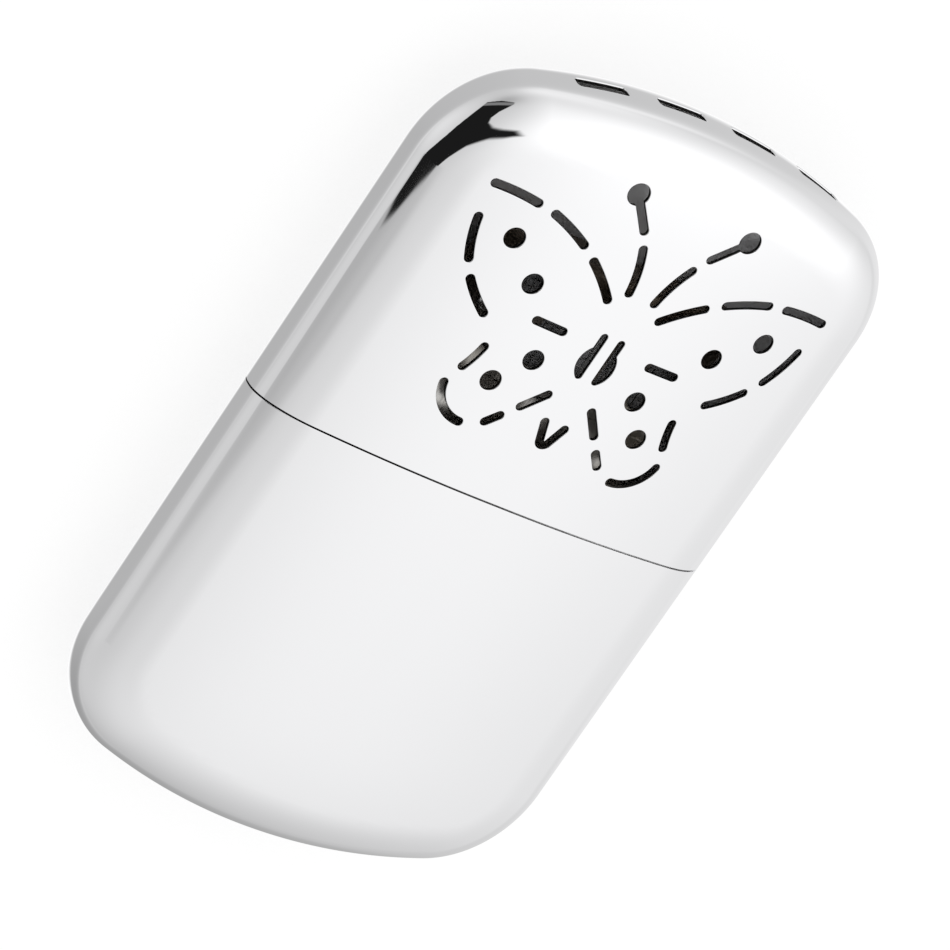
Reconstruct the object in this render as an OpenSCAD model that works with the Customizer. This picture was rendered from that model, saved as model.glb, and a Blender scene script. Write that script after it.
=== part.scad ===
// Pocket catalytic hand warmer: a fuel tank with a recessed neck, a lift-off burner and a pierced cap.
// It lies on its back: X runs across the width, Y along the length with the cap at +Y,
// Z through the thickness, and the origin is under the middle of the back.

/* [Body] */
// Width of the body across its sides
body_w = 67; // [62:0.5:80]
// Length of the body, tank and cap together
body_l = 102; // [96:0.2:124]
// Thickness of the body at the middle of its crowned faces
body_t = 14.1; // [13.7:0.1:20]
// Thickness that the crown would have at the sides, had it no rolled edge
side_t = 8.1; // [7:0.1:9]
// Thickness that the crown would have at the ends, had it no rolled edge
end_t = 13; // [12.4:0.1:13.6]
// Width of the flat strip down the middle of the front and the back
flat_w = 3; // [2:0.5:6]
// Thickness of the sheet that the tank and the cap are drawn from
wall = 0.5; // [0.3:0.05:0.6]

/* [Rounded outline and edge] */
// Radius of the corners of the outline, seen from the front
corner_r = 14.1; // [11:0.1:15.5]
// Depth of each rounded end of the outline, corner and end arc together
end_depth = 16.85; // [16.5:0.05:18.5]
// Length over which the crown falls towards each end
fall_l = 19.4; // [19:0.2:28]
// Width of the rolled edge, measured in from the outline
roll_w = 7.6; // [5:0.1:8]
// Squareness of the rolled edge: 2 is an ellipse, and more is blunter
roll_power = 2.4; // [2:0.1:3]

/* [Seam] */
// Distance of the seam from the middle of the length, towards the cap
seam_y = 0.45; // [-4:0.05:4]
// Open gap between the rim of the tank and the rim of the cap
seam_gap = 0.2; // [0.1:0.05:0.4]
// Height of the neck collar above the seam, inside the cap
collar_up = 5; // [3:0.5:8]
// Depth of the neck collar below the seam, inside the tank
collar_down = 4; // [2:0.5:8]
// Thickness of the collar's sheet
collar_wall = 0.5; // [0.3:0.05:0.7]
// Sliding clearance between the collar and the cap
slide_gap = 0.12; // [0.08:0.01:0.25]
// Clearance of a soldered or crimped lap
lap_gap = 0.03; // [0.02:0.01:0.08]

/* [Vent figure] */
// Distance from the seam to the centre of the butterfly figure
figure_y = 22.5; // [20:0.1:26]
// Width of the pierced strokes
stroke_w = 1.1; // [0.8:0.05:1.4]
// Diameter of the round holes
dot_d = 2.6; // [1.8:0.1:3]
// Diameter of the knob at the tip of each antenna
knob_d = 2.8; // [2:0.1:3.4]

/* [End vents] */
// Number of slots along the crest of the cap
vent_count = 4; // [2:1:5]
// Distance from one slot to the next
vent_pitch = 10.8; // [8:0.1:12]
// Length of each slot
vent_l = 6.7; // [4:0.1:7.6]
// Width of each slot
vent_w = 1.7; // [1.2:0.1:2.4]
// Height of the slots' centre line above the middle of the thickness
vent_rise = 0.4; // [0:0.1:1]
// Corner radius of each slot
vent_r = 0.5; // [0.2:0.05:0.5]

/* [Filler neck] */
// Length of the oblong neck across the body
neck_w = 36; // [30:0.5:38]
// Thickness of the neck
neck_t = 8; // [6.6:0.1:8.4]
// Height of the neck above the top plate
neck_up = 5.5; // [4.5:0.5:8]
// Thickness of the neck's sheet
neck_wall = 0.4; // [0.3:0.05:0.6]
// Width of the flange that holds the neck under the top plate
flange_w = 1; // [0.6:0.1:1.1]
// Thickness of the tank's top plate
plate_t = 0.6; // [0.4:0.1:1]
// Thickness of the felt pad in the neck
felt_t = 2; // [1:0.1:2]

/* [Burner] */
// Height of the burner's casing above its base ledge
casing_h = 19; // [17:0.5:21]
// Thickness of the burner's sheet
burner_wall = 0.35; // [0.25:0.05:0.45]
// Height of the socket that grips the casing
socket_h = 2; // [1:0.5:3]
// Width of the ledge that carries the casing and the mat
ledge_w = 1.4; // [1:0.1:2]
// Running clearance between the neck and the burner's skirt
skirt_gap = 0.08; // [0.05:0.01:0.1]
// Number of windows in each face of the casing
window_count = 5; // [3:1:5]
// Width of each window
window_w = 4; // [2:0.1:4.4]
// Height of each window
window_h = 11; // [6:0.5:11]
// Distance from one window to the next
window_pitch = 5.4; // [4.8:0.1:5.4]
// Radius of the rivets' shanks
rivet_r = 0.7; // [0.4:0.1:0.9]
// Thickness of each gauze sheet
gauze_t = 0.3; // [0.2:0.05:0.4]
// Width of each hole in the gauze
mesh_hole = 1.5; // [1.2:0.1:1.6]
// Distance from one gauze hole to the next
mesh_pitch = 2.2; // [2.2:0.1:3]

/* [Hidden] */
$fn = 48;

chrome = "gainsboro";
tin = "silver";
steel = "darkgray";
felt = "ivory";
ash = "dimgray";

side_steps = 9;       // facets across the rolled edge, in a quarter of the section
crown_steps = 6;      // facets from the rolled edge to the flat strip
corner_steps = 10;    // rings round each corner of the outline
end_steps = 9;        // rings along half the end arc
arc_steps = 6;        // facets along an arc of the vent figure
fall_power = 3;       // how late the crown falls towards the ends
cut = 1;              // how far a cutting shape runs past what it cuts
soft_gap = 0.3;       // room round felt, wadding and mat
rest_gap = 0.3;       // room under the lift-off burner
mid_z = body_t / 2;
half_l = body_l / 2;
tank_rim = seam_y - seam_gap / 2;
cap_rim = seam_y + seam_gap / 2;
collar_in = wall + slide_gap;             // depth of the collar's outer face under the body's skin
collar_top = seam_y + collar_up;
collar_foot = seam_y - collar_down;
plate_y = collar_top - plate_t;
neck_foot = plate_y - lap_gap - plate_t;
neck_top = collar_top + neck_up;
felt_y = neck_foot + lap_gap;
skirt_in = neck_t / 2 + skirt_gap;        // half thickness inside the burner's skirt
skirt_out = skirt_in + burner_wall;
skirt_extra = (neck_w - neck_t) / 2;      // half length of the straight run of every oblong shape
skirt_y = collar_top + rest_gap;
ledge_y = neck_top + rest_gap;
casing_y = ledge_y + burner_wall + lap_gap;
casing_out = skirt_in - lap_gap;          // half thickness of the casing
casing_in = casing_out - burner_wall;
casing_top = casing_y + casing_h;
window_y = casing_y + socket_h + (casing_h - socket_h) / 2;
rivet_x = skirt_extra + casing_out / 3;
gauze_out = casing_in - lap_gap;
gauze_in = gauze_out - gauze_t;
mat_half_t = gauze_in - lap_gap;
mat_w = 2 * (rivet_x - rivet_r - soft_gap);
mat_y = casing_y + soft_gap;
mat_h = casing_h - burner_wall - 2 * soft_gap;

// Right-hand half of the butterfly: straight or bowed strokes as [start, end, bow to the left].
// Each is measured in millimetres from the centre of the figure.
wing_strokes = [
    [[24.5, 12.7], [18.6, 12.75], -0.15],   // fore edge of the upper wing
    [[16, 12.45], [10.65, 10.55], -0.15],
    [[8.35, 9.25], [3.85, 5.75], -0.15],
    [[23.95, 8.35], [22.05, 3.5], 0.2],     // outer edge of the upper wing
    [[20.45, 1.4], [16.6, -1.65], 0.15],
    [[6.45, 0.15], [10.25, 0.15], 0],       // bar under the upper wing
    [[14.05, -5.25], [15, -8.4], -0.1],     // outer edge of the lower wing
    [[15.85, -11.05], [11.3, -14.7], 1.05],
    [[3.25, -7.5], [5.5, -10.1], 0],        // inner edge of the lower wing
    [[7.15, -12.05], [8.4, -13.45], 0],
    [[1.9, 7.5], [3.7, 12.9], 0.25],        // antenna
    [[5, 14.95], [8.35, 18.6], 0],
];
wing_dots = [[18.65, 7.9], [13.4, 3.9], [7.6, -4.35], [10.85, -8.6]];
knob_at = [8.35, 18.6];
tail_arm = [[1.45, -10.7], [0.6, -13.4], 0];
tail_turn = [[0.6, -13.4], [-0.6, -13.4], 0.1];
body_edge = 0.78;                // straight inner edge of each half of the butterfly's body
body_neck = [1.26, 1.45];        // centre of its round top
body_belly = [-0.25, -2.1];      // centre of its round belly
belly_r = 2.8;
foot_r = 0.45;                   // rounding where the belly meets the straight edge

// Outline seen from the front: straight sides, corners of radius corner_r, then one flat end arc.
corner_y = half_l - end_depth;      // where the straight sides end
corner_x = body_w / 2 - corner_r;   // centre of each corner
end_r = (corner_x ^ 2 + end_depth ^ 2 - corner_r ^ 2) / (2 * (end_depth - corner_r));
end_half = asin(corner_x / (end_r - corner_r));   // half the angle of the end arc

// How far a point of the plan lies inside the outline.
function inset(x, y) =
    let (vx = abs(x) - corner_x, vy = abs(y) - corner_y)
    vy <= 0 ? corner_r - vx
    : atan2(vy, vx) < 90 - end_half ? corner_r - norm([vx, vy])
    : end_r - norm([x, abs(y) - half_l + end_r]);

// Superellipse from 0 at t = 0 to 1 at t = 1, where it ends level.
function rise(t) = (1 - (1 - min(1, max(0, t))) ^ roll_power) ^ (1 / roll_power);

// Half thickness of the body at a point of the plan and a depth d under the skin:
// rolled edge times the crown across the width times the fall of the crown towards the ends.
function half_t(x, y, d) =
    let (b = body_t / 2 - d,
         u = max(0, abs(x) - flat_w / 2) / (body_w / 2 - d - flat_w / 2),
         v = max(0, abs(y) - half_l + fall_l) / (fall_l - d))
    b * rise((inset(x, y) - d) / (roll_w - d))
      * (1 - (1 - (side_t / 2 - d) / b) * u ^ 2)
      * (1 - (1 - (end_t / 2 - d) / b) * v ^ fall_power);

// Shares of the half width at which every section has its points, from the side to the flat strip.
function shares(d) =
    let (a = body_w / 2 - d, w = roll_w - d)
    concat([for (i = [0:side_steps]) 1 - w * (1 - cos(90 * i / side_steps)) / a],
           [for (i = [1:crown_steps]) (a - w + (flat_w / 2 - a + w) * i / crown_steps) / a]);

// Section of half width w at y, a depth d under the skin, counter-clockwise from the right side.
function section(d, w, y) =
    let (q = [for (s = shares(d)) [w * s, half_t(w * s, y, d)]], n = len(q))
    concat(q,
           [for (i = [n - 1:-1:0]) [-q[i].x, q[i].y]],
           [for (i = [1:n - 1]) [-q[i].x, -q[i].y]],
           [for (i = [n - 1:-1:1]) [q[i].x, -q[i].y]]);

// Rings [half width, y] from y0 round the end of the outline to the last one before its crest.
function rings(d, y0) =
    concat([[body_w / 2 - d, y0], [body_w / 2 - d, half_l - fall_l]],
           [for (i = [0:corner_steps]) let (t = (90 - end_half) * i / corner_steps)
                [corner_x + (corner_r - d) * cos(t), corner_y + (corner_r - d) * sin(t)]],
           [for (i = [1:end_steps - 1]) let (t = end_half * (1 - i / end_steps))
                [(end_r - d) * sin(t), half_l - end_r + (end_r - d) * cos(t)]]);

// Solid bounded by the body's skin at a depth d, from y0 to the crest at the +Y end.
module skin_solid(d, y0) {
    rows = rings(d, y0);
    n = len(section(d, 1, 0));
    m = len(rows);
    points = concat([for (w = rows, p = section(d, w.x, w.y)) [p.x, w.y, mid_z + p.y]],
                    [[0, half_l - d, mid_z]]);
    sides = [for (j = [0:m - 2], i = [0:n - 1], lower = [true, false])
                let (k = (i + 1) % n)
                lower ? [j * n + i, j * n + k, (j + 1) * n + k]
                      : [j * n + i, (j + 1) * n + k, (j + 1) * n + i]];
    tip = [for (i = [0:n - 1]) [(m - 1) * n + i, (m - 1) * n + (i + 1) % n, n * m]];
    mouth = [[for (i = [n - 1:-1:0]) i]];
    polyhedron(points, concat(mouth, sides, tip));
}

// Straight length of the body's section at a depth d.
module band(d, y0, y1) {
    along_y(y0, y1) polygon(section(d, body_w / 2 - d, 0));
}

module along_y(y0, y1) {
    translate([0, y0, mid_z]) rotate([-90, 0, 0]) linear_extrude(y1 - y0) children();
}

module stadium(half_w, half_t) {
    square([2 * (half_w - half_t), 2 * half_t], center = true);
    for (side = [-1, 1]) translate([side * (half_w - half_t), 0]) circle(half_t);
}

// Oblong of the neck's family: every one has the same straight run, and half thickness t.
module oblong(t) {
    stadium(skirt_extra + t, t);
}

module rounded(w, h, r) {
    square([w - 2 * r, h], center = true);
    square([w, h - 2 * r], center = true);
    for (x = [-1, 1], y = [-1, 1]) translate([x * (w / 2 - r), y * (h / 2 - r)]) circle(r);
}

// A pierced stroke from p to q with round ends, bowed to its left by bow.
module stroke(p, q, bow) {
    r = stroke_w / 2;
    run = norm(q - p);
    turn = atan2(q.y - p.y, q.x - p.x);
    for (e = [p, q]) translate(e) circle(r);
    translate((p + q) / 2) rotate(turn)
        if (bow == 0) square([run, stroke_w], center = true);
        else bowed_bar(run, abs(bow), sign(bow), r);
}

module bowed_bar(run, bow, side, r) {
    big = (run ^ 2 / 4 + bow ^ 2) / (2 * bow);
    h = bow > run / 2 ? 180 - asin(run / 2 / big) : asin(run / 2 / big);
    points = concat(arc([0, 0], big + r, 90 + h, 90 - h), arc([0, 0], big - r, 90 - h, 90 + h));
    polygon([for (p = points) [p.x, side * (p.y + bow - big)]]);
}

// Points of an arc about c, from one angle to another.
function arc(c, r, from, to) =
    [for (i = [0:arc_steps]) let (t = from + (to - from) * i / arc_steps) c + r * [cos(t), sin(t)]];

module half_butterfly() {
    for (s = wing_strokes) stroke(s[0], s[1], s[2]);
    for (p = wing_dots) translate(p) circle(d = dot_d);
    translate(knob_at) circle(d = knob_d);
    stroke(tail_arm[0], tail_arm[1], tail_arm[2]);
    half_body();
}

// Teardrop with a straight inner edge: a round top, then a wider belly that ends in a small foot.
module half_body() {
    neck_r = body_neck.x - body_edge;
    foot_x = body_edge + foot_r;
    foot_y = body_belly.y - sqrt((belly_r - foot_r) ^ 2 - (foot_x - body_belly.x) ^ 2);
    foot_turn = atan2(foot_y - body_belly.y, foot_x - body_belly.x);
    neck_turn = acos((body_neck.x + neck_r - body_belly.x) / belly_r);
    polygon(concat(arc(body_neck, neck_r, 0, 180),
                   arc([foot_x, foot_y], foot_r, 180, 360 + foot_turn),
                   arc(body_belly, belly_r, foot_turn, neck_turn)));
}

module butterfly() {
    half_butterfly();
    mirror([1, 0]) half_butterfly();
    stroke(tail_turn[0], tail_turn[1], tail_turn[2]);
}

module end_slots() {
    for (i = [0:vent_count - 1])
        translate([(i - (vent_count - 1) / 2) * vent_pitch, -vent_rise]) rounded(vent_l, vent_w, vent_r);
}

module cap_shell() color(chrome) difference() {
    skin_solid(0, cap_rim);
    skin_solid(wall, cap_rim - cut);
    translate([0, seam_y + figure_y, mid_z]) linear_extrude(mid_z + cut) butterfly();
    along_y(corner_y + corner_r / 2, half_l + cut) end_slots();
}

module tank_shell() color(chrome) mirror([0, 1, 0]) difference() {
    skin_solid(0, -tank_rim);
    skin_solid(wall, -tank_rim - cut);
}

module neck_collar() color(tin) difference() {
    union() {
        band(collar_in, collar_foot, collar_top);
        band(wall + lap_gap, collar_foot, tank_rim - seam_gap);
    }
    band(collar_in + collar_wall, collar_foot - cut, collar_top + cut);
}

module tank_top_plate() color(tin) difference() {
    band(collar_in + collar_wall + lap_gap, plate_y, collar_top);
    along_y(plate_y - cut, collar_top + cut) oblong(neck_t / 2 + lap_gap);
}

module filler_neck() color(tin) difference() {
    union() {
        along_y(neck_foot, neck_top) oblong(neck_t / 2);
        along_y(neck_foot, neck_foot + plate_t) oblong(neck_t / 2 + flange_w);
    }
    along_y(neck_foot - cut, neck_top + cut) oblong(neck_t / 2 - neck_wall);
}

module neck_felt() color(felt)
    along_y(felt_y, felt_y + felt_t) oblong(neck_t / 2 - neck_wall - soft_gap / 2);

module cotton_wadding() color(felt) {
    mirror([0, 1, 0]) skin_solid(wall + soft_gap, soft_gap - collar_foot);
    band(collar_in + collar_wall + soft_gap, collar_foot - 2 * soft_gap, neck_foot - soft_gap);
}

module burner_base() color(steel) difference() {
    along_y(skirt_y, casing_y + socket_h) oblong(skirt_out);
    along_y(skirt_y - cut, ledge_y) oblong(skirt_in);
    along_y(skirt_y, casing_y + cut) oblong(skirt_in - ledge_w);
    along_y(casing_y - lap_gap, casing_y + socket_h + cut) oblong(skirt_in);
}

// One half of the casing: a pressed tray with windows, a closed top and a rivet hole at each end.
module casing_half() difference() {
    along_y(casing_y, casing_top) oblong(casing_out);
    along_y(casing_y - cut, casing_top - burner_wall) oblong(casing_in);
    translate([-neck_w, casing_y - cut, -cut]) cube([2 * neck_w, casing_h + 2 * cut, mid_z + lap_gap + cut]);
    translate([0, window_y, mid_z]) linear_extrude(mid_z)
        for (i = [0:window_count - 1])
            translate([(i - (window_count - 1) / 2) * window_pitch, 0]) rounded(window_w, window_h, window_w / 4);
    for (side = [-1, 1]) translate([side * rivet_x, window_y, mid_z]) cylinder(r = rivet_r + lap_gap, h = mid_z);
}

module other_face() {
    translate([0, 0, body_t]) mirror([0, 0, 1]) children();
}

module burner_front_shell() color(steel) casing_half();

module burner_rear_shell() color(steel) other_face() casing_half();

module gauze() {
    nx = floor((mat_w - mesh_pitch) / mesh_pitch);
    ny = floor((mat_h - mesh_pitch) / mesh_pitch);
    translate([0, mat_y + mat_h / 2, mid_z + gauze_in]) linear_extrude(gauze_t) difference() {
        square([mat_w, mat_h], center = true);
        for (i = [0:nx - 1], j = [0:ny - 1])
            translate([(i - (nx - 1) / 2) * mesh_pitch, (j - (ny - 1) / 2) * mesh_pitch])
                square(mesh_hole, center = true);
    }
}

module burner_front_gauze() color(tin) gauze();

module burner_rear_gauze() color(tin) other_face() gauze();

module catalyst_mat() color(ash)
    along_y(mat_y, mat_y + mat_h) rounded(mat_w, 2 * mat_half_t, mat_half_t / 3);

module burner_rivets() color(tin) for (side = [-1, 1]) translate([side * rivet_x, window_y, mid_z]) {
    cylinder(r = rivet_r, h = 2 * (casing_out + lap_gap), center = true);
    for (face = [-1, 1]) translate([0, 0, face * (casing_out + lap_gap + burner_wall / 2)])
        cylinder(r = 2 * rivet_r, h = burner_wall, center = true);
}

tank_shell();
neck_collar();
tank_top_plate();
filler_neck();
neck_felt();
cotton_wadding();
burner_base();
burner_front_shell();
burner_rear_shell();
burner_front_gauze();
burner_rear_gauze();
catalyst_mat();
burner_rivets();
cap_shell();
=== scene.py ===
# Looks of a pocket catalytic hand warmer: mirror-plated shells, a burner under the cap, a soft white studio.
# Lengths in the dictionaries are millimetres, angles are degrees, and meshes are written in metres.
import bpy
import numpy as np
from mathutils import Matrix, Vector
from mathutils.geometry import delaunay_2d_cdt


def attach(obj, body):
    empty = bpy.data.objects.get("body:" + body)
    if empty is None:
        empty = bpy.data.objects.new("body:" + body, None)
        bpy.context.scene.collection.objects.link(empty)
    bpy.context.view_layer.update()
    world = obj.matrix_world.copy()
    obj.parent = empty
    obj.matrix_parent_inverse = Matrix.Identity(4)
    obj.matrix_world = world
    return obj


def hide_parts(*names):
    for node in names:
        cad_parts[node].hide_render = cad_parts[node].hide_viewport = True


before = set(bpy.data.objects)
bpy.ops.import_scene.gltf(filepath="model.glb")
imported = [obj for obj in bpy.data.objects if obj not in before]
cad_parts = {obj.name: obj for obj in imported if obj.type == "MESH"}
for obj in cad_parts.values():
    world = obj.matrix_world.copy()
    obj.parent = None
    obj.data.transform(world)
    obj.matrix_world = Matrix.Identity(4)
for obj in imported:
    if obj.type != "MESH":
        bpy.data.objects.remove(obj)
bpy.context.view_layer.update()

metre = 0.001          # metres in one millimetre
tiny = 1e-9            # keeps divisors off zero
quarter = np.pi / 2    # a quarter turn in radians

body = dict(
    width=67.0, length=102.0, thickness=14.1, sideThickness=8.1, endThickness=13.0, flat=3.0,
    cornerRadius=14.1, endDepth=16.85, fall=19.4, fallPower=3, roll=7.6, rollPower=2.4,
    wall=0.5, seam=0.45, seamGap=0.2,
)
halfWidth = body["width"] / 2
halfLength = body["length"] / 2
midHeight = body["thickness"] / 2
cornerX = halfWidth - body["cornerRadius"]        # centre of each corner of the outline
cornerY = halfLength - body["endDepth"]
endRadius = ((cornerX ** 2 + body["endDepth"] ** 2 - body["cornerRadius"] ** 2)
             / (2 * (body["endDepth"] - body["cornerRadius"])))
endHalf = np.arcsin(cornerX / (endRadius - body["cornerRadius"]))   # half the angle of the end arc


# skin of the body

def outwardOf(x, y):
    # distance inside the outline, and the outward direction in the plan:
    # side: a - |x|; corner: R - |p - centre|; end arc: Re - |p - its centre|
    vx, vy, r = np.abs(x) - cornerX, np.abs(y) - cornerY, body["cornerRadius"]
    ey = np.abs(y) - halfLength + endRadius
    corner, end = np.maximum(np.hypot(vx, vy), tiny), np.hypot(x, ey)
    onSide = vy <= 0
    onCorner = ~onSide & (np.arctan2(vy, vx) < quarter - endHalf)
    inset, nx, ny = (np.where(onSide, side, np.where(onCorner, turn, arc)) for side, turn, arc in (
        (r - vx, r - corner, endRadius - end),
        (1.0, vx / corner, np.abs(x) / end), (0.0, vy / corner, ey / end)))
    return inset, nx * np.sign(x), ny * np.sign(y)


def crownOf(x, y, depth):
    # half thickness without the rolled edge: b (1 - (1 - side/b) u^2) (1 - (1 - end/b) v^p)
    b = body["thickness"] / 2 - depth
    u = np.maximum(0, np.abs(x) - body["flat"] / 2) / (halfWidth - depth - body["flat"] / 2)
    v = np.maximum(0, np.abs(y) - halfLength + body["fall"]) / (body["fall"] - depth)
    return (b * (1 - (1 - (body["sideThickness"] / 2 - depth) / b) * u ** 2)
            * (1 - (1 - (body["endThickness"] / 2 - depth) / b) * v ** body["fallPower"]))


def halfThickness(x, y, depth=0.0):
    # crown times the rolled edge's superellipse: (1 - (1 - q)^m)^(1/m), with q = inset / roll
    q = np.clip((outwardOf(x, y)[0] - depth) / (body["roll"] - depth), 0, 1)
    m = body["rollPower"]
    return crownOf(x, y, depth) * (1 - (1 - q) ** m) ** (1 / m)


def skinNormal(x, y, z, depth=0.0):
    # gradient of (|z| / crown)^m + (1 - q)^m, with z from the middle of the thickness
    m, step = body["rollPower"], 1e-3
    inset, nx, ny = outwardOf(x, y)
    q = np.clip((inset - depth) / (body["roll"] - depth), 0, 1)
    crown = crownOf(x, y, depth)
    slopeX = (crownOf(x + step, y, depth) - crownOf(x - step, y, depth)) / (2 * step)
    slopeY = (crownOf(x, y + step, depth) - crownOf(x, y - step, depth)) / (2 * step)
    t = np.clip(np.abs(z) / crown, 0, 1)
    edge = (1 - q) ** (m - 1) / (body["roll"] - depth)
    n = np.stack([edge * nx - t ** m / crown * slopeX, edge * ny - t ** m / crown * slopeY,
                  np.sign(z) * t ** (m - 1) / crown], -1)
    return n / np.linalg.norm(n, axis=-1, keepdims=True)


def liftToSkin(plan, depth=0.0, side=1):
    # points (x, y) of the plan raised or lowered to the skin, and their normals
    x, y = plan.T
    z = side * halfThickness(x, y, depth)
    return np.stack([x, y, z], 1), skinNormal(x, y, z, depth)


def pushToEnd(front, depth=0.0, halvings=40):
    # points (x, z) carried along y to the end's skin, and their normals: y is where the half thickness is |z|
    x, z = front.T
    low, high = np.full_like(x, cornerY), np.full_like(x, halfLength)
    for _ in range(halvings):
        mid = (low + high) / 2
        inside = (outwardOf(x, mid)[0] > depth) & (halfThickness(x, mid, depth) > np.abs(z))
        low, high = np.where(inside, mid, low), np.where(inside, high, mid)
    y = (low + high) / 2
    return np.stack([x, y, z], 1), skinNormal(x, y, z, depth)


# meshes: points, faces and a normal for each corner of a face

def newMesh():
    return dict(points=[], faces=[], normals=[], slots=[], count=0)


def addPoints(mesh, p):
    flat = p.reshape(-1, 3)
    mesh["points"].append(flat)
    mesh["count"] += len(flat)
    return np.arange(mesh["count"] - len(flat), mesh["count"]).reshape(p.shape[:-1])


def addFaces(mesh, faces, normals, slot=0):
    mesh["faces"].append(faces)
    mesh["normals"].append(np.broadcast_to(normals, (*faces.shape, 3)))
    mesh["slots"].append(np.full(len(faces), slot))


def addGrid(mesh, index, normal, slot=0, closed=False):
    # two triangles for each cell of a grid of points, closed along its first direction if asked
    normal = np.broadcast_to(normal, (*index.shape, 3))
    if closed:
        index, normal = (np.concatenate([v, v[:1]]) for v in (index, normal))
    i, n = ([v[:-1, :-1], v[1:, :-1], v[1:, 1:], v[:-1, 1:]] for v in (index, normal))
    for k in ((0, 1, 2), (0, 2, 3)):
        addFaces(mesh, np.stack([i[c].ravel() for c in k], 1),
                 np.stack([n[c].reshape(-1, 3) for c in k], 1), slot)


def addRound(mesh, first, last, base, n, wall, lip, slot):
    # a quarter round from the points first, base - n lip (1 - cos t) + wall lip sin t, then the flat wall
    # down to the points last, with a slot of its own
    t = lipTurns[None, :, None]
    base, n, wall = (v[:, None] for v in (base, n, wall))
    middle = addPoints(mesh, (base - n * lip * (1 - np.cos(t)) + wall * lip * np.sin(t))[:, 1:])
    addWall(mesh, first, middle, last, n * np.cos(t) + wall * np.sin(t), wall, slot)


def addWall(mesh, first, middle, last, normal, wall, slot):
    # plated rings from the points first through the middle, then one step to the points last
    addGrid(mesh, np.concatenate([first[:, None], middle], 1), normal, closed=True)
    addGrid(mesh, np.stack([middle[:, -1], last], 1), wall, slot, closed=True)


def mirrorMesh(mesh, signs):
    # points and normals times the sign of each axis
    for key in ("points", "normals"):
        mesh[key] = [v * signs for v in mesh[key]]


def buildMesh(name, mesh, materials):
    # faces are turned to their normals, so every piece points outwards, and those without area are dropped
    p, f = np.concatenate(mesh["points"]) * metre, np.concatenate(mesh["faces"])
    n, s = np.concatenate(mesh["normals"]), np.concatenate(mesh["slots"])
    flat = np.cross(p[f[:, 1]] - p[f[:, 0]], p[f[:, 2]] - p[f[:, 0]])
    solid = np.linalg.norm(flat, axis=1) > 1e-16
    f, n, s, flat = f[solid], n[solid], s[solid], flat[solid]
    back = (flat * n.mean(1)).sum(1) < 0
    f[back], n[back] = f[back][:, ::-1], n[back][:, ::-1]
    used, f = np.unique(f, return_inverse=True)
    data = bpy.data.meshes.new(name)
    data.from_pydata((p[used] + [0, 0, midHeight * metre]).tolist(), [], f.reshape(-1, 3).tolist())
    data.polygons.foreach_set("material_index", s.astype(np.int32))
    data.polygons.foreach_set("use_smooth", np.ones(len(s), bool))
    data.normals_split_custom_set(n.reshape(-1, 3).tolist())
    for material in materials:
        data.materials.append(material)
    piece = bpy.data.objects.new(name, data)
    bpy.context.scene.collection.objects.link(piece)
    print("mesh", name, len(used), "points", len(s), "triangles")
    return piece


def ridePiece(piece, node, bodyName):
    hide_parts(node)
    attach(piece, bodyName)


def insideLoop(p, loop):
    # even-odd rule for many points at once
    a, b = loop, np.roll(loop, -1, 0)
    across = (a[:, 1] > p[:, None, 1]) != (b[:, 1] > p[:, None, 1])
    rise = np.where(b[:, 1] == a[:, 1], tiny, b[:, 1] - a[:, 1])
    cut = a[:, 0] + (p[:, None, 1] - a[:, 1]) * (b[:, 0] - a[:, 0]) / rise
    return (across & (p[:, None, 0] < cut)).sum(1) % 2 == 1


def clearOf(p, loops, room):
    # the points that lie outside every loop and at least room from its points
    clear = np.ones(len(p), bool)
    for loop in loops:
        clear &= ~insideLoop(p, loop) & (np.linalg.norm(p[:, None] - loop, axis=-1).min(1) >= room)
    return p[clear], clear


def triangulate(border, inner, holes, weld=1e-7):
    # plan triangles of the border loop with its holes: points are numbered border, inner, then each hole
    points = np.concatenate([border, inner, *holes])
    starts = np.cumsum([len(border) + len(inner)] + [len(h) for h in holes])
    loops = [np.arange(len(border))] + [np.arange(s, s + len(h)) for s, h in zip(starts, holes)]
    edges = np.concatenate([np.stack([l, np.roll(l, -1)], 1) for l in loops])
    found = delaunay_2d_cdt([Vector(q) for q in points.tolist()], edges.tolist(), [], 0, weld)
    faces = np.array([o[0] for o in found[3]])[np.array(found[2])]
    centre = points[faces].mean(1)
    keep = insideLoop(centre, border)
    for h in holes:
        keep &= ~insideLoop(centre, h)
    return faces[keep]


# outlines

def arcOf(centre, radius, start, stop, count):
    # centre plus radius (cos, sin), from start to stop in degrees
    t = np.radians(np.linspace(start, stop, count))
    return np.array(centre) + radius * np.stack([np.cos(t), np.sin(t)], 1)


def degreesOf(v):
    return np.degrees(np.arctan2(v[1], v[0]))


def lineInside(a, b, count):
    # evenly spaced points from a to b, without a and b themselves
    return a + (b - a) * np.linspace(0, 1, count)[1:-1, None]


def joinedLoop(corners, counts):
    # the points of each corner, and after it the straight side to the next one
    parts = []
    for this, after, count in zip(corners, corners[1:] + corners[:1], counts):
        parts += [this, lineInside(this[-1], after[0], count)]
    return np.concatenate(parts)


def slotOutlines(row, grow):
    # rounded rectangles in a row, each with so many points on a corner, a level side and an upright side
    w, h, r = row["width"] / 2 + grow, row["height"] / 2 + grow, row["corner"] + grow
    corners = [arcOf((sx * (w - r), sy * (h - r)), r, a, a + 90, row["points"][0])
               for sx, sy, a in ((1, 1, 0), (-1, 1, 90), (-1, -1, 180), (1, -1, 270))]
    loop = joinedLoop(corners, row["points"][1:] * 2)
    return [loop + [(i - (row["count"] - 1) / 2) * row["pitch"], row["level"]] for i in range(row["count"])]


# the vent figure: outlines that can be widened by grow

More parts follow.
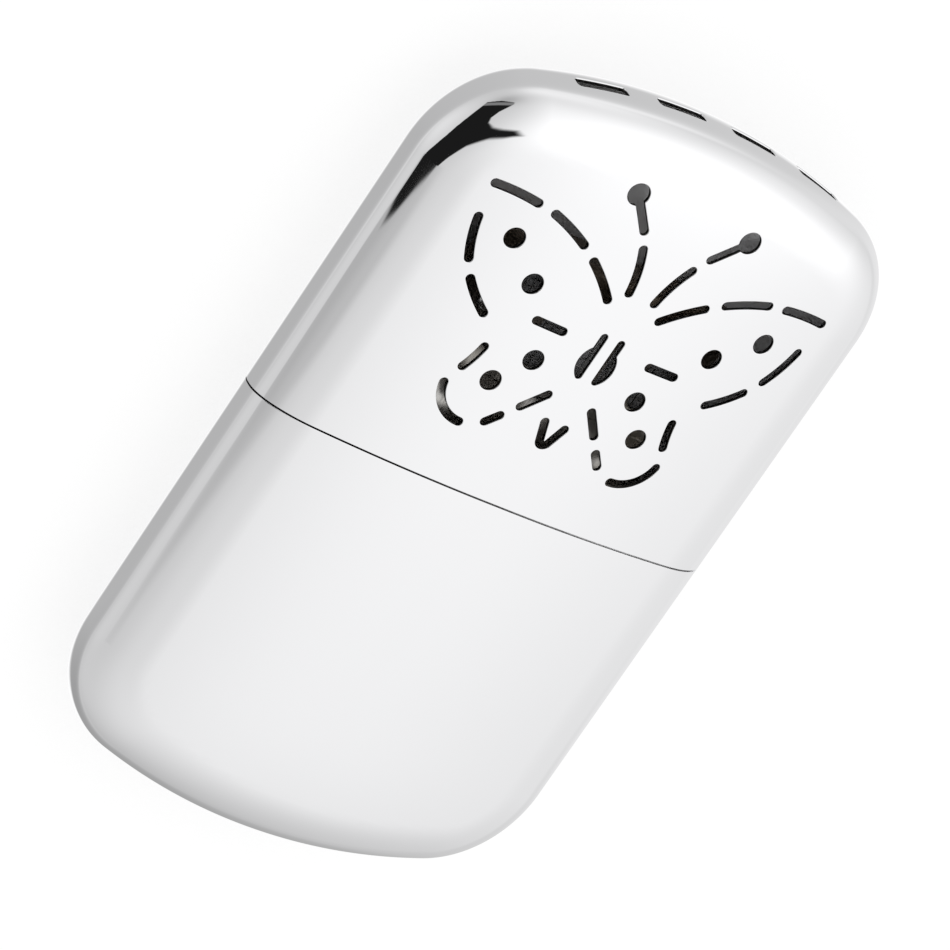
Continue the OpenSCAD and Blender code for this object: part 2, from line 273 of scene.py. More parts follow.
vents = dict(
    centre=22.95, stroke=1.1, dot=2.6, knob=2.8, lip=0.08,
    strokes=[   # first end, second end, and how far the arc bows to the left of the way between them
        ((24.5, 12.7), (18.6, 12.75), -0.15), ((16, 12.45), (10.65, 10.55), -0.15),
        ((8.35, 9.25), (3.85, 5.75), -0.15), ((23.95, 8.35), (22.05, 3.5), 0.2),
        ((20.45, 1.4), (16.6, -1.65), 0.15), ((6.45, 0.15), (10.25, 0.15), 0),
        ((14.05, -5.25), (15, -8.4), -0.1), ((15.85, -11.05), (11.3, -14.7), 1.05),
        ((3.25, -7.5), (5.5, -10.1), 0), ((7.15, -12.05), (8.4, -13.45), 0),
        ((1.9, 7.5), (3.7, 12.9), 0.25),
    ],
    leastBow=1e-3,
    dots=[(18.65, 7.9), (13.4, 3.9), (7.6, -4.35), (10.85, -8.6)],
    antenna=((5, 14.95), (8.35, 18.6)),
    tailTop=(1.45, -10.7), tailTurn=0.6, tailEnd=-13.45, leastTurn=0.02,
    bodyEdge=0.78, bodyNeck=(1.26, 1.45), bodyBelly=(-0.25, -2.1), bellyRadius=2.8, footRadius=0.45,
)
counts = dict(   # points on each arc or side of the openings
    bar=15, barEnd=11, dot=41, knob=36, tip=13, arm=8, turn=19, tailTip=11,
    neck=12, foot=9, belly=16, edge=14, rise=5,
)
endVents = dict(count=4, pitch=10.8, width=6.7, height=1.7, level=0.4, corner=0.5, lip=0.2, points=(6, 14, 4))


def barOutline(p, q, bow, grow):
    # a stroke with round ends along an arc that stands bow b to the left of its run s from p to q:
    # the arc's radius is (s^2 / 4 + b^2) / 2b
    p, q, r = np.array(p, float), np.array(q, float), vents["stroke"] / 2 + grow
    run = np.linalg.norm(q - p)
    along = (q - p) / run
    left = np.array([-along[1], along[0]]) * (np.sign(bow) if bow else 1)
    bend = max(abs(bow), vents["leastBow"])
    big = (run ** 2 / 4 + bend ** 2) / (2 * bend)
    half = np.arcsin(run / 2 / big)
    half = np.pi - half if bend > run / 2 else half
    t = np.linspace(-half, half, counts["bar"])[:, None]
    side = along * np.sin(t) + left * np.cos(t)
    line = (p + q) / 2 + big * side + left * (bend - big)
    turn = np.linspace(0, np.pi, counts["barEnd"])[1:-1, None]
    onward, sideways = along * np.cos(half), left * np.sin(half)
    far = line[-1] + r * (side[-1] * np.cos(turn) + (onward - sideways) * np.sin(turn))
    near = line[0] + r * (-side[0] * np.cos(turn) - (onward + sideways) * np.sin(turn))
    return np.concatenate([line + r * side, far, (line - r * side)[::-1], near])


def keyOutline(grow):
    # the antenna's upper stroke with its round knob, as one opening
    tip, knob = (np.array(v, float) for v in vents["antenna"])
    r, big = vents["stroke"] / 2 + grow, vents["knob"] / 2 + grow
    angle, half = degreesOf(knob - tip), np.degrees(np.arcsin(r / big))
    ball = arcOf(knob, big, angle + 180 + half, angle + 540 - half, counts["knob"])
    end = arcOf(tip, r, angle + 90, angle + 270, counts["tip"])
    return joinedLoop([ball, end], [counts["arm"]] * 2)


def tailOutline(grow):
    # a V with a round turn: the right arm's tip, the turn's outside, the left arm's tip and the turn's inside
    r, turn = vents["stroke"] / 2 + grow, vents["tailTurn"]
    centre, top = np.array([0, vents["tailEnd"] + turn]), np.array(vents["tailTop"], float)
    leave = np.degrees(np.arccos(turn / np.linalg.norm(top - centre)))
    lean = degreesOf(top - centre) - leave   # where the arm leaves the turn
    outer = arcOf(centre, turn + r, lean, -180 - lean, counts["turn"])
    inner = centre + max(turn - r, vents["leastTurn"]) * (outer - centre) / (turn + r)
    tip = arcOf(top, r, lean + 180, lean, counts["tailTip"])
    return joinedLoop([tip, outer, (tip * [-1, 1])[::-1], inner[::-1]], [counts["arm"]] * 4)


def bodyOutline(grow):
    # half of the figure's body: round top, small round foot and wide belly against a straight edge
    edge, belly = vents["bodyEdge"] - grow, np.array(vents["bodyBelly"])
    neckR = vents["bodyNeck"][0] - vents["bodyEdge"] + grow
    bellyR, footR = vents["bellyRadius"] + grow, vents["footRadius"] + grow
    footX = edge + footR
    foot = np.array([footX, belly[1] - np.sqrt((bellyR - footR) ** 2 - (footX - belly[0]) ** 2)])
    footTurn = degreesOf(foot - belly)
    neckTurn = np.degrees(np.arccos((vents["bodyNeck"][0] + neckR - belly[0]) / bellyR))
    top = arcOf(vents["bodyNeck"], neckR, 0, 180, counts["neck"])
    low = arcOf(foot, footR, 180, 360 + footTurn, counts["foot"])
    wide = arcOf(belly, bellyR, footTurn, neckTurn, counts["belly"])[1:]
    return joinedLoop([top, np.concatenate([low, wide])], [counts["edge"], counts["rise"]])


def figureOutlines(grow):
    # every opening of the front, right half then its mirror image
    half = [barOutline(p, q, bow, grow) for p, q, bow in vents["strokes"]]
    half += [arcOf(c, vents["dot"] / 2 + grow, 0, 360, counts["dot"])[:-1] for c in vents["dots"]]
    half += [keyOutline(grow), bodyOutline(grow)]
    loops = half + [l * [-1, 1] for l in half] + [tailOutline(grow)]
    return [l + [0, vents["centre"]] for l in loops]


def endOutlines(grow):
    return slotOutlines(endVents, grow)


# shells: slot 0 is plating, 1 the inside, 2 a cut edge and 3 the mouth's rim; 2 and 3 carry painted shade

shell = dict(
    sideCells=26, cornerCells=26, endCells=60, rollCells=26, mouthPoints=62, plateInset=6.4,
    mouthLip=0.06, lipSteps=4, ventRows=9, ventHalfWidth=21.4,
    gridStep=0.9, mouthRoom=0.7, edgeRoom=0.4, ventRoom=0.42, slotRoom=0.2,   # spacing of a face's points
)
lipTurns = np.linspace(0, quarter, shell["lipSteps"] + 1)


def outlinePath(start):
    # points and outward directions from the mouth on the right, round the end, to the mouth on the left
    y = np.linspace(start, cornerY, shell["sideCells"] + 1)[:-1]
    t = np.linspace(0, quarter - endHalf, shell["cornerCells"] + 1)[:-1]
    e = np.linspace(endHalf, 0, shell["endCells"] // 2 + 1)
    r = body["cornerRadius"]
    right = np.concatenate([
        np.stack([np.full_like(y, halfWidth), y, np.ones_like(y), np.zeros_like(y)], 1),
        np.stack([cornerX + r * np.cos(t), cornerY + r * np.sin(t), np.cos(t), np.sin(t)], 1),
        np.stack([endRadius * np.sin(e), halfLength + endRadius * (np.cos(e) - 1), np.sin(e), np.cos(e)], 1)])
    return np.concatenate([right, right[-2::-1] * [-1, 1, -1, 1]])


def bandGrid(start, depth):
    # rolled edge: outline point minus its outward direction times roll (1 - cos a), at plus and minus the
    # half thickness
    path = outlinePath(start)
    last = np.arccos(1 - shell["plateInset"] / body["roll"])
    a = np.linspace(-1, 1, 2 * shell["rollCells"] + 1) * last
    inset = depth + (shell["plateInset"] - depth) * (1 - np.cos(a)) / (1 - np.cos(last))
    x = path[:, None, 0] - path[:, None, 2] * inset
    y = path[:, None, 1] - path[:, None, 3] * inset
    z = np.sign(a) * halfThickness(x, y, depth)
    z[:, shell["rollCells"]] = 0
    return np.stack([x, y, z], -1)


def loopInward(loop):
    # unit directions from each point of a counter-clockwise loop into the opening
    t = np.roll(loop, -1, 0) - np.roll(loop, 1, 0)
    n = np.stack([-t[:, 1], t[:, 0]], 1)
    area = (loop[:, 0] * np.roll(loop[:, 1], -1) - np.roll(loop[:, 0], -1) * loop[:, 1]).sum()
    return n / np.linalg.norm(n, axis=1, keepdims=True) * np.sign(area)


def addWalls(mesh, outlines, carry, rings, lip, plane, sink=None):
    # each opening's plated round, then its cut wall: at angle t the outline is widened by lip (1 - sin t),
    # carried to the skin, and sunk lip (1 - cos t) along the skin's normal or the given direction
    widened = [outlines(lip * (1 - np.sin(t))) for t in lipTurns]
    for k, (loop, first, last) in enumerate(zip(outlines(0), *rings)):
        inward = np.zeros((len(loop), 3))
        inward[:, plane] = loopInward(loop)
        spots, normals = [], []
        for t, loops in zip(lipTurns, widened):
            p, n = carry(loops[k])
            spots.append(p - (n if sink is None else np.array(sink)) * lip * (1 - np.cos(t)))
            mix = n * np.cos(t) + inward * np.sin(t)
            normals.append(mix / np.linalg.norm(mix, axis=-1, keepdims=True))
        middle = addPoints(mesh, np.stack(spots[1:], 1))
        addWall(mesh, first, middle, last, np.stack(normals, 1), inward[:, None], 2)


def platePatch(mesh, skin, side, openings, faces, inner):
    # front (side 1) or back (side -1): the plan inside the rolled edge, triangulated and lifted to the skin
    row = -1 if side > 0 else 0
    edge = skin["p"][:, row]
    x = np.linspace(edge[-1, 0], edge[0, 0], shell["mouthPoints"])[1:-1]
    mouth = np.stack([x, np.full_like(x, skin["start"])], 1)
    p, n = liftToSkin(np.concatenate([mouth, inner, *openings]), skin["depth"], side)
    index = addPoints(mesh, p)
    every = np.concatenate([skin["index"][:, row], index])
    everyNormal = np.concatenate([skin["n"][:, row], n]) * skin["sign"]
    if faces is None:
        faces = triangulate(np.concatenate([edge[:, :2], mouth]), inner, openings)
    addFaces(mesh, every[faces], everyNormal[faces], skin["slot"])
    skin["mouth"][side] = index[:len(mouth)]
    ends = np.cumsum([len(o) for o in openings], dtype=int)
    skin["rings"] = np.split(index[len(mouth) + len(inner):], ends[:-1])
    return faces


def slottedEdge(mesh, skin, normal):
    # rolled edge with the end slots cut in a patch of the (x, z) plane; gives the points of each slot
    p, index, slot, mid = skin["p"], skin["index"], skin["slot"], shell["rollCells"]
    columns = np.flatnonzero((np.abs(p[:, mid, 0]) < shell["ventHalfWidth"]) & (p[:, mid, 1] > cornerY))
    c0, c1, r0, r1 = columns[0], columns[-1] + 1, mid - shell["ventRows"], mid + shell["ventRows"] + 1
    for rows, cols in ((slice(0, r0 + 1), slice(None)), (slice(r1 - 1, None), slice(None)),
                       (slice(r0, r1), slice(0, c0 + 1)), (slice(r0, r1), slice(c1 - 1, None))):
        addGrid(mesh, index[cols, rows], normal[cols, rows], slot)
    patches = [v[c0:c1, r0:r1] for v in (p, normal, index)]
    ring, ringNormal, ringIndex = (np.concatenate([v[:-1, 0], v[-1, :-1], v[:0:-1, -1], v[0, :0:-1]])
                                   for v in patches)
    core, coreNormal, coreIndex = (v[1:-1, 1:-1].reshape(-1, *v.shape[2:]) for v in patches)
    loops = endOutlines(endVents["lip"] if slot == 0 else 0)
    core, clear = clearOf(core[:, [0, 2]], loops, shell["slotRoom"])
    faces = triangulate(ring[:, [0, 2]], core, loops)
    edge, edgeNormal = pushToEnd(np.concatenate(loops), skin["depth"])
    edgeIndex = addPoints(mesh, edge)
    every = np.concatenate([ringIndex, coreIndex[clear], edgeIndex])
    everyNormal = np.concatenate([ringNormal, coreNormal[clear], edgeNormal * skin["sign"]])
    addFaces(mesh, every[faces], everyNormal[faces], slot)
    return np.split(edgeIndex, len(loops))


def addMouth(mesh, skins):
    # the section's loop from the outer skin over a small round to the flat rim and the inner skin
    first, last = (np.concatenate([s["index"][0], s["mouth"][1][::-1], s["index"][-1, ::-1], s["mouth"][-1]])
                   for s in skins)
    base = np.concatenate(mesh["points"])[first]
    n = skinNormal(*base.T) * [1, 0, 1]
    n = n / np.linalg.norm(n, axis=1, keepdims=True)
    addRound(mesh, first, last, base, n, np.array([[0.0, -1.0, 0.0]]), shell["mouthLip"], 3)


def shellMesh(name, rim, materials, mirrored, pierced):
    # outer and inner skin from the rim to the end, then the openings' walls and the mouth; the tank is made
    # like the cap and mirrored in y
    mesh, outerStart, skins = newMesh(), rim + shell["mouthLip"], []
    for depth, start, sign, slot in ((0.0, outerStart, 1, 0), (body["wall"], rim, -1, 1)):
        p = bandGrid(start, depth)
        n = skinNormal(*np.moveaxis(p, -1, 0), depth)
        skins.append(dict(depth=depth, start=start, sign=sign, slot=slot, mouth={}, p=p, n=n,
                          index=addPoints(mesh, p)))
    ys = np.arange(outerStart + shell["mouthRoom"], halfLength, shell["gridStep"])
    xs = np.arange(-halfWidth, halfWidth, shell["gridStep"]) + shell["gridStep"] / 4
    inner = np.stack(np.meshgrid(xs, ys), -1).reshape(-1, 2)
    inner = inner[outwardOf(*inner.T)[0] > shell["plateInset"] + shell["edgeRoom"]]

    figure = [figureOutlines(vents["lip"]), figureOutlines(0)] if pierced else [[], []]
    for side, openings in ((1, figure), (-1, [[], []])):
        plan, faces = clearOf(inner, openings[0], shell["ventRoom"])[0], None
        for skin, loops in zip(skins, openings):
            faces = platePatch(mesh, skin, side, loops, faces, plan)
        if side > 0:
            figureRings = [skin["rings"] for skin in skins]
    if pierced:
        addWalls(mesh, figureOutlines, liftToSkin, figureRings, vents["lip"], [0, 1])
        endRings = [slottedEdge(mesh, skin, skin["n"] * skin["sign"]) for skin in skins]
        addWalls(mesh, endOutlines, pushToEnd, endRings, endVents["lip"], [0, 2], sink=(0, 1, 0))
    else:
        for skin in skins:
            addGrid(mesh, skin["index"], skin["n"] * skin["sign"], skin["slot"])
    addMouth(mesh, skins)
    if mirrored:
        mirrorMesh(mesh, [1, -1, 1])
    return buildMesh(name, mesh, materials)


# materials

finish = dict(
    # cut is a near-black painted shade for the openings' walls and the seam
    mirror=(0.93, 0.93, 0.94), inside=(0.95, 0.95, 0.96), cut=(0.09, 0.088, 0.085),
    # the last colour on the next line is painted shade over the burner casing's lit top
    steel=(0.62, 0.61, 0.60), steelClouds=((0.64, 0.60, 0.53), (0.62, 0.62, 0.62)), topShade=(0.2, 0.165, 0.13),
    # the next colour is painted shade in the seam on the collar
    seamDark=(0.03, 0.028, 0.026),
)
noiseSpan = (0.3, 0.7)   # nearly all values of a noise lie between these two
# painted shade in the seam between cap and tank, darkest on the left
seamShade = dict(
    shadeFades=(-22, 16),                 # x from where the seam's painted shade starts to fade to where it is gone
    ragged=0.2, edge=(0.3, 0.6),       # distances from the seam over which the painted shade ends
    roughness=0.6,
)


def feed(node, sockets):
    # a socket of another node is linked, and anything else becomes the constant
    for key, value in sockets.items():
        if isinstance(value, bpy.types.NodeSocket):
            node.id_data.links.new(value, node.inputs[key])
        else:
            node.inputs[key].default_value = value


def addNode(tree, kind, sockets=None, **settings):
    node = tree.nodes.new(kind)
    for key, value in settings.items():
        setattr(node, key, value)
    feed(node, sockets or {})
    return node


def newMaterial(name, base, metallic, roughness):
    material = bpy.data.materials.new(name)
    material.use_nodes = True
    shader = material.node_tree.nodes["Principled BSDF"]
    feed(shader, {"Base Color": (*base, 1), "Metallic": metallic, "Roughness": roughness})
    return material, material.node_tree, shader


def placeOf(tree):
    return addNode(tree, "ShaderNodeTexCoord").outputs["Object"]


def noiseOf(tree, scale, detail=3.0, stretch=(1, 1, 1), distortion=0.0):
    # noise on object coordinates: scale is cycles per metre
    place = addNode(tree, "ShaderNodeMapping", {"Vector": placeOf(tree), "Scale": stretch}).outputs["Vector"]
    sockets = {"Vector": place, "Scale": scale, "Detail": detail, "Distortion": distortion}
    return addNode(tree, "ShaderNodeTexNoise", sockets).outputs["Fac"]


def rangeOf(source, low, high, out0, out1):
    sockets = {"Value": source, "From Min": low, "From Max": high, "To Min": out0, "To Max": out1}
    return addNode(source.id_data, "ShaderNodeMapRange", sockets).outputs["Result"]


def spreadOf(noise, low, high):
    # the noise's span carried to low and high
    return rangeOf(noise, *noiseSpan, low, high)


def mathOf(tree, operation, *values):
    return addNode(tree, "ShaderNodeMath", dict(enumerate(values)), operation=operation).outputs[0]


def tintOf(tree, factor, first, second):
    # first where the factor is 0, second where it is 1
    return addNode(tree, "ShaderNodeMix", {0: factor, 6: first, 7: second}, data_type="RGBA").outputs[2]


def shadeOf(colour, factor):
    return [min(1, v * factor) for v in colour]


def mixColour(noise, first, second):
    # first at the low end of the noise's span, second at its high end
    ramp = addNode(noise.id_data, "ShaderNodeValToRGB", {"Fac": noise})
    for stop, position, colour in zip(ramp.color_ramp.elements, noiseSpan, (first, second)):
        stop.position, stop.color = position, (*colour, 1)
    return ramp.outputs["Color"]


def bumpOf(shader, height, strength, distance):
    sockets = {"Height": height, "Strength": strength, "Distance": distance}
    feed(shader, {"Normal": addNode(shader.id_data, "ShaderNodeBump", sockets).outputs["Normal"]})


def mirrorPlate():
    # polished plating: a faint long wave from the press, and a haze of fine wiping marks
    material, tree, shader = newMaterial("mirrorPlate", finish["mirror"], 1.0, 0.02)
    bumpOf(shader, noiseOf(tree, scale=45.0, detail=1.0), strength=0.25, distance=0.00004)
    marks = noiseOf(tree, scale=900.0, detail=4.0, stretch=(1, 0.12, 1))
    feed(shader, {"Roughness": rangeOf(marks, 0.35, 0.75, 0.01, 0.03)})
    return material


def drawnInside():
    # the drawn sheet's thin inner plating isn't polished, so it stays half dull and keeps the drawing marks
    material, tree, shader = newMaterial("drawnInside", finish["inside"], 0.2, 0.2)
    grain = noiseOf(tree, scale=700.0, detail=5.0, stretch=(1, 0.2, 1))
    feed(shader, {"Roughness": spreadOf(grain, 0.14, 0.24)})
    return material


def grainyMetal(name, base, roughness, scale, swing, dark):
    # one noise moves the roughness by swing either way, and the tone between dark times the base and the base
    material, tree, shader = newMaterial(name, base, 1.0, roughness)
    grain = noiseOf(tree, scale)
    feed(shader, {"Roughness": spreadOf(grain, roughness * (1 - swing), roughness * (1 + swing)),
                  "Base Color": mixColour(grain, shadeOf(base, dark), base)})
    return material


def seamShadeFade(tree):
    # 0 at the left side, where the seam's painted shade is darkest, to 1 right of the middle, where it is
    # gone; y is given back with it
    split = addNode(tree, "ShaderNodeSeparateXYZ", {0: placeOf(tree)})
    start, stop = (v * metre for v in seamShade["shadeFades"])
    return rangeOf(split.outputs["X"], start, stop, 0, 1), split.outputs["Y"]


def mouthRimShade():
    # rim of the cap and of the tank: painted shade, near-black on the left where the seam is darkest
    material, tree, shader = newMaterial("mouthRimShade", finish["cut"], 1.0, 0.3)
    # painted shade: near-black rim on the left, mirror plating right of the middle
    feed(shader, {"Base Color": tintOf(tree, seamShadeFade(tree)[0], (*finish["cut"], 1), (*finish["mirror"], 1)),
                  "Roughness": spreadOf(noiseOf(tree, scale=1400.0), 0.2, 0.35)})
    return material


def satinPlate(name, base, roughness):
    # plating with fine marks drawn round the piece, and a little staining
    material, tree, shader = newMaterial(name, base, 1.0, roughness)
    drawn = noiseOf(tree, scale=420.0, detail=4.0, stretch=(0.15, 3.0, 0.15))
    stain = mixColour(noiseOf(tree, scale=160.0), shadeOf(base, 0.86), shadeOf(base, 1.04))
    feed(shader, {"Roughness": spreadOf(drawn, roughness * 0.75, roughness * 1.3), "Base Color": stain})
    bumpOf(shader, drawn, strength=0.25, distance=0.00003)
    return material


def seamShadeLine(material):
    # painted shade on the collar where the cap's mouth stands, darkening the seam gap: it fades out 0.1 to
    # 0.6 mm from the seam, with a ragged edge
    tree, d = material.node_tree, seamShade
    shader = tree.nodes["Principled BSDF"]
    fade, y = seamShadeFade(tree)
    away = mathOf(tree, "ABSOLUTE", mathOf(tree, "SUBTRACT", y, body["seam"] * metre))
    away = mathOf(tree, "ADD", away, spreadOf(noiseOf(tree, scale=900.0), 0.0, d["ragged"] * metre))
    unshaded = mathOf(tree, "MAXIMUM", rangeOf(away, d["edge"][0] * metre, d["edge"][1] * metre, 0, 1), fade)
    # the painted shade: a near-black colour and a high roughness
    for key, shaded in (("Base Color", finish["seamDark"]), ("Roughness", (d["roughness"],) * 3)):
        source = shader.inputs[key].links[0].from_socket
        feed(shader, {key: tintOf(tree, unshaded, (*shaded, 1), source)})


def burnerSheet():
    # pressed stainless sheet: rolling grain up the sheet, and a duller painted shade that deepens towards the
    # top with y plus 12 mm times the cloud, darkening the casing's lit upper part
    material, tree, shader = newMaterial("burnerSheet", finish["steel"], 1.0, 0.3)
    grain = noiseOf(tree, scale=500.0, detail=5.0, stretch=(4.0, 0.12, 4.0))
    cloud = noiseOf(tree, scale=110.0)
    y = addNode(tree, "ShaderNodeSeparateXYZ", {0: placeOf(tree)}).outputs["Y"]
    # painted shade: darker and duller towards the top, where light falls on the casing
    topShade = rangeOf(mathOf(tree, "MULTIPLY_ADD", cloud, 12 * metre, y), 16 * metre, 32 * metre, 0, 1)
    tint = tintOf(tree, topShade, mixColour(cloud, *finish["steelClouds"]), (*finish["topShade"], 1))
    dull = mathOf(tree, "MULTIPLY_ADD", topShade, 0.25, spreadOf(grain, 0.22, 0.42))
    feed(shader, {"Base Color": tint, "Roughness": dull})
    bumpOf(shader, grain, strength=0.3, distance=0.00004)
    return material


def fibreMass(name, dark, light, scale, stretch, height):
    # matted fibres: the mean of two crossed stretched noises drives both the tone and the bump
    material, tree, shader = newMaterial(name, light, 0.0, 0.95)
    strands = noiseOf(tree, scale, detail=6.0, stretch=stretch, distortion=1.5)
    crossed = noiseOf(tree, scale * 0.8, detail=6.0, stretch=stretch[::-1], distortion=2.0)
    mean = mathOf(tree, "MULTIPLY", mathOf(tree, "ADD", strands, crossed), 0.5)
    feed(shader, {"Base Color": mixColour(mean, dark, light), "Sheen Weight": 0.3, "Sheen Roughness": 0.6})
    bumpOf(shader, mean, strength=0.8, distance=height)
    return material


# painted shade: the near-black cut walls stand for the shade in the openings and the seam
shadedCutEdge = grainyMetal("shadedCutEdge", finish["cut"], roughness=0.4, scale=1400.0, swing=0.25, dark=0.6)
shellMaterials = [mirrorPlate(), drawnInside(), shadedCutEdge, mouthRimShade()]
capRim, tankRim = body["seam"] + body["seamGap"] / 2, body["seam"] - body["seamGap"] / 2
cap = shellMesh("capShellMirror", capRim, shellMaterials, mirrored=False, pierced=True)
ridePiece(cap, "cap_shell", "cap")
tank = shellMesh("tankShellMirror", -tankRim, shellMaterials, mirrored=True, pierced=False)
ridePiece(tank, "tank_shell", "tank")
print("shells done")


# pieces swept round a loop: a profile with rounded corners, round an oblong or the body's section

def roundProfile(corners, steps=5, closed=True):
    # each corner (across, along, radius) becomes an arc: its centre lies one radius inside the side before it
    c = np.array(corners, float)
    p, radius = c[:, :2], c[:, 2]
    ahead = np.roll(p, -1, 0) - p
    ahead /= np.linalg.norm(ahead, axis=1, keepdims=True)
    back = np.roll(ahead, 1, 0)
    bend = np.arctan2(back[:, 0] * ahead[:, 1] - back[:, 1] * ahead[:, 0], (back * ahead).sum(1))
    start = p - back * (radius * np.tan(np.abs(bend) / 2))[:, None]
    side = np.stack([back[:, 1], -back[:, 0]], 1)
    t = bend[:, None] * np.linspace(0, 1, steps + 1)
    cos, sin, sx, sy = np.cos(t), np.sin(t), side[:, :1], side[:, 1:]
    n = np.stack([sx * cos - sy * sin, sx * sin + sy * cos], -1)
    inward = (np.sign(bend) * radius)[:, None]
    p = ((start - side * inward)[:, None] + n * inward[..., None]).reshape(-1, 2)
    n = n.reshape(-1, 2)
    return (np.concatenate([p, p[:1]]), np.concatenate([n, n[:1]])) if closed else (p, n)


def sweptGrid(loop, across, along):
    # base x, plus across times the loop's direction in x and z, with y along
    x, dx, dz = loop
    return np.stack([x[:, None] + dx[:, None] * across, np.broadcast_to(along, (len(x), len(along))),
                     dz[:, None] * across], -1)


def oblongLoop(count=22, runs=30):
    # base points on the neck's straight run and directions out of them, once round the oblong
    turn = np.linspace(-quarter, quarter, count + 1)
    run = np.linspace(1, -1, runs + 1)[1:-1]
    x = np.concatenate([np.ones_like(turn), run, -np.ones_like(turn), -run]) * neck["straight"]
    angle = np.concatenate([turn, np.full_like(run, quarter), turn + np.pi, np.full_like(run, -quarter)])
    return x, np.cos(angle), np.sin(angle)


def sweepOblong(name, corners, material):
    (p, n), (x, dx, dz), mesh = roundProfile(corners), oblongLoop(), newMesh()
    index = addPoints(mesh, sweptGrid((x, dx, dz), *p.T))
    addGrid(mesh, index, sweptGrid((x * 0, dx, dz), *n.T), closed=True)
    return buildMesh(name, mesh, [material])


def sectionLoop(depth, edgePoints=41):
    # the body's straight section at a depth: rolled edges, and the crown between them
    a = np.linspace(-quarter, quarter, edgePoints)
    edge = halfWidth - depth - (body["roll"] - depth) * (1 - np.cos(a))
    crown = np.linspace(edge[-1], -edge[-1], edgePoints + 1)[1:-1]
    x = np.concatenate([edge, crown, -edge[::-1], -crown])
    sign = np.concatenate([np.sign(a), np.ones_like(crown), np.sign(a[::-1]), -np.ones_like(crown)])
    z = sign * halfThickness(x, x * 0, depth)
    n = skinNormal(x, x * 0, np.where(np.abs(z) < tiny, tiny, z), depth)
    return x, z, n[:, 0], n[:, 2]


def addSmooth(name, grid, material):
    # a closed tube of points whose normals come from the cross product of its two directions
    n = np.cross(np.gradient(grid, axis=1), np.roll(grid, -1, 0) - np.roll(grid, 1, 0))
    length = np.linalg.norm(n, axis=-1, keepdims=True)
    n = np.where(length > tiny, n / np.maximum(length, tiny), [0.0, 1.0, 0.0])
    way = np.sign(((grid - grid.reshape(-1, 3).mean(0)) * n).sum())
    mesh = newMesh()
    addGrid(mesh, addPoints(mesh, grid), n * way, closed=True)
    return buildMesh(name, mesh, [material])


lumps = dict(waves=(1.0, 2.3, 4.1), stretch=(1.0, 1.3, 0.9), phase=(1.7, 1.0, 2.0), most=1.7)


def roughen(p, scale, depth):
    # lumps of a few sizes: for each wave k, the product of sin k (stretch p + phase) over the axes, over k
    q = p * scale * lumps["stretch"] + lumps["phase"]
    return sum(np.sin(k * q).prod(-1) / k for k in lumps["waves"]) / lumps["most"] * depth


collar = dict(top=5.45, foot=-3.55, shoulder=0.15, lap=0.03, gap=0.12, wall=0.5, lead=0.24, footRound=0.06,
              shoulderRound=0.04)


def collarPiece(material):
    # the sheet's profile is given by depth under the skin, so it follows the body's section
    c, low, high = collar, -body["wall"] - collar["lap"], -body["wall"] - collar["gap"]
    back = high - c["wall"]
    p, n = roundProfile([(low, c["foot"], c["footRound"]), (low, c["shoulder"], c["shoulderRound"]),
                         (high, c["shoulder"], 0.0), (high, c["top"], c["lead"]), (back, c["top"], c["lead"]),
                         (back, c["foot"], c["footRound"])])
    x, z, nx, nz = (np.stack(v, 1) for v in zip(*[sectionLoop(-across) for across in p[:, 0]]))
    mesh = newMesh()
    index = addPoints(mesh, np.stack([x, np.broadcast_to(p[:, 1], x.shape), z], -1))
    normal = np.stack([nx * n[:, 0], np.broadcast_to(n[:, 1], x.shape), nz * n[:, 0]], -1)
    addGrid(mesh, index, normal, closed=True)
    return buildMesh("collarBand", mesh, [material])


neck = dict(straight=14.0, radius=4.0, wall=0.4, top=10.95, plateBottom=4.85, lap=0.03, flange=1.0,
            flangeThickness=0.6, fold=0.25, lip=0.19, flangeRound=0.12, footRound=0.1)


def neckPiece(material):
    # a flanged tube, hung under the plate
    v, r, inner = neck, neck["radius"], neck["radius"] - neck["wall"]
    high, out = v["plateBottom"] - v["lap"], r + v["flange"]
    foot = high - v["flangeThickness"]
    return sweepOblong("neckTube", [
        (inner, foot, v["footRound"]), (out, foot, v["flangeRound"]), (out, high, v["flangeRound"]),
        (r, high, v["fold"]), (r, v["top"], v["lip"]), (inner, v["top"], v["lip"])], material)


felt = dict(radius=3.45, bottom=4.25, thickness=2.0, fold=0.35, tuft=0.045, lump=2.6, steps=7, facePoints=12,
            turnCells=28, runCells=70)


def feltPiece(material):
    # a pad with a soft edge: both faces run in from the edge to the middle line, and lumps press into them
    v, top, arc = felt, felt["bottom"] + felt["thickness"], felt["steps"] + 1
    p, _ = roundProfile([(0, v["bottom"], 0), (v["radius"], v["bottom"], v["fold"]),
                         (v["radius"], top, v["fold"]), (0, top, 0)], v["steps"], closed=False)
    low, high = (lineInside(a, b, v["facePoints"]) for a, b in ((p[0], p[arc]), (p[-arc - 1], p[-1])))
    section = np.concatenate([p[:1], low, p[arc:-arc], high, p[-1:]])
    grid = sweptGrid(oblongLoop(v["turnCells"], v["runCells"]), *section.T)
    press = np.sign(grid[..., 1] - v["bottom"] - v["thickness"] / 2)
    grid[..., 1] -= np.abs(roughen(grid, v["lump"], v["tuft"])) * press
    return addSmooth("neckFeltPad", grid, material)


burner = dict(
    wall=0.35, skirtInside=4.08, skirtFoot=5.75, ledgeFoot=11.25, ledgeWidth=1.4, casingFoot=11.63,
    socket=2.0, lap=0.03, fold=0.16, seatRound=0.2, ledgeRound=0.3,
    casing=4.05, casingTop=30.63, crownRadius=0.9, crownPoints=8, sidePoints=15, frontPoints=41, rows=26,
    parting=0.012, shutTop=0.02, windowRoom=0.3,   # angle left open at the parting, half gap at the top
    rivetX=15.35, rivetRadius=0.7, headRadius=1.4, headFoot=4.08, headTop=4.43, headRim=0.09,
    domePoints=9, turnPoints=41,
)
windows = dict(count=5, pitch=5.4, width=4.0, height=11.0, level=22.13, corner=1.0, lip=0.11,
               points=(8, 5, 14))


